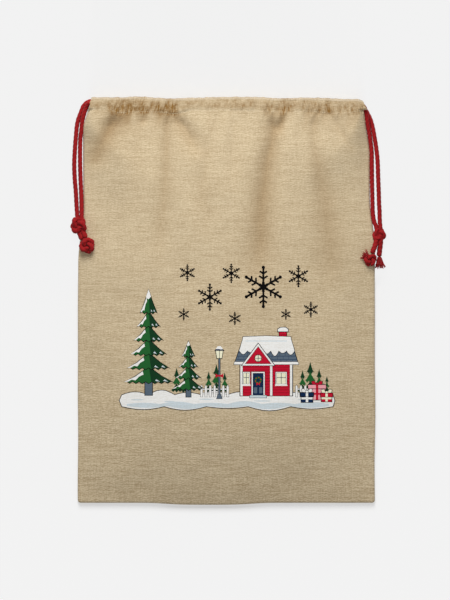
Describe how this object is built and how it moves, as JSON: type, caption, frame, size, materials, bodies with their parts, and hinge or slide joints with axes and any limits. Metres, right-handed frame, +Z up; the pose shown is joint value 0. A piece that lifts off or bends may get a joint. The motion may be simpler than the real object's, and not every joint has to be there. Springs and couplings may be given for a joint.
{
  "type": "drawstring gift sack",
  "caption": "Large jute-look drawstring gift sack lying flat and empty, with opposed drawcords that run through the hems of its mouth and knot at the sides.",
  "frame": {"origin": "middle of the sack's underside as it lies on its back, measured without the drawcords", "axes": "+Y from the sewn bottom to the drawstring mouth, +X to the right of someone who looks at the printed front, +Z up out of the front"},
  "size_m": [0.5305, 0.685, 0.027],
  "materials": {
    "jute_cloth": "coarse plain weave",
    "red_cord": "soft twisted cord",
    "print_ink": "matt textile ink"
  },
  "bodies": {
    "sack_cloth": {"back_panel": "jute_cloth", "front_panel": "jute_cloth", "back_casing": "jute_cloth", "front_casing": "jute_cloth", "left_seam": "jute_cloth", "right_seam": "jute_cloth", "bottom_seam": "jute_cloth"},
    "left_drawcord": {"left_cord_loop": "red_cord", "left_back_strand": "red_cord", "left_front_strand": "red_cord", "left_join_knot": "red_cord", "left_back_tail": "red_cord", "left_front_tail": "red_cord", "left_end_knot": "red_cord"},
    "right_drawcord": {"right_cord_loop": "red_cord", "right_back_strand": "red_cord", "right_front_strand": "red_cord", "right_join_knot": "red_cord", "right_front_tail": "red_cord", "right_back_tail": "red_cord", "right_front_end_knot": "red_cord", "right_back_end_fray": "red_cord"}
  },
  "joints": [
    {"name": "left_cord_pull", "type": "slide", "parent": "sack_cloth", "child": "left_drawcord", "axis": [-1, 0, 0], "range_m": [0, 0.13], "deforming": ["front_casing", "back_casing", "front_panel", "back_panel", "right_seam"]},
    {"name": "right_cord_pull", "type": "slide", "parent": "sack_cloth", "child": "right_drawcord", "axis": [1, 0, 0], "range_m": [0, 0.13], "deforming": ["left_seam"]}
  ]
}
